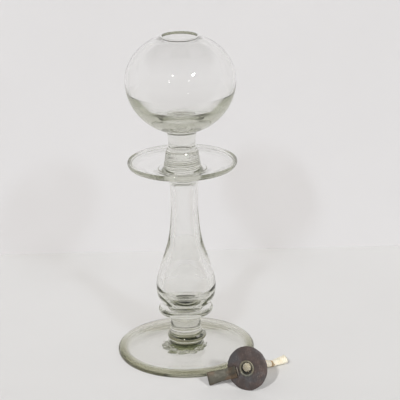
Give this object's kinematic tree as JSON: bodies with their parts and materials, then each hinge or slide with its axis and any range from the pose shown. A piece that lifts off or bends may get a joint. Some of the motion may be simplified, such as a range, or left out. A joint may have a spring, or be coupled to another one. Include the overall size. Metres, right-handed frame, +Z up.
{
  "type": "glass drop-burner oil lamp",
  "caption": "Free-blown glass oil lamp with an open globe font, drip pan, hollow baluster stem and round foot, and its loose metal drop burner with a cotton wick.",
  "frame": {"origin": "centre of the foot's underside, on the surface the lamp stands on", "axes": "+Z up the lamp's axis, -Y to the front, where the loose burner lies, +X to the right"},
  "size_m": [0.1308, 0.131, 0.25],
  "materials": {
    "lamp_glass": "clear free-blown glass with a faint grey-green tint, seeds, swirls and tool marks",
    "scar_glass": "broken pontil mark, rough, with a small ground flat",
    "burner_iron": "old tinned sheet iron, dark grey-brown, dull with rubbed spots",
    "handle_iron": "old sheet iron with brown-olive rust bloom",
    "solder": "dull lead-tin solder",
    "wick_cotton": "loosely twisted cream cotton, cut ends frayed",
    "thread_cotton": "tan cotton thread"
  },
  "bodies": {
    "lamp": {"font_globe": "lamp_glass", "font_neck": "lamp_glass", "pan_collar": "lamp_glass", "drip_pan": "lamp_glass", "pan_wafer": "lamp_glass", "baluster_stem": "lamp_glass", "stem_flange": "lamp_glass", "base_stem": "lamp_glass", "base_knop": "lamp_glass", "foot_disc": "lamp_glass", "pontil_scar": "scar_glass"},
    "burner": {"burner_disc": "burner_iron", "wick_tube": "burner_iron", "tube_solder": "solder", "burner_handle": "handle_iron", "handle_solder": "solder"},
    "wick": {"wick": "wick_cotton", "wick_tail": "wick_cotton", "wick_thread": "thread_cotton"}
  },
  "joints": [
    {"name": "burner_lift", "type": "slide", "parent": "lamp", "child": "burner", "axis": [0, 0, 1], "range_m": [0, 0.28]},
    {"name": "wick_feed", "type": "slide", "parent": "burner", "child": "wick", "axis": [-0.4683, -0.8378, 0.2807], "range_m": [0, 0.008]}
  ]
}
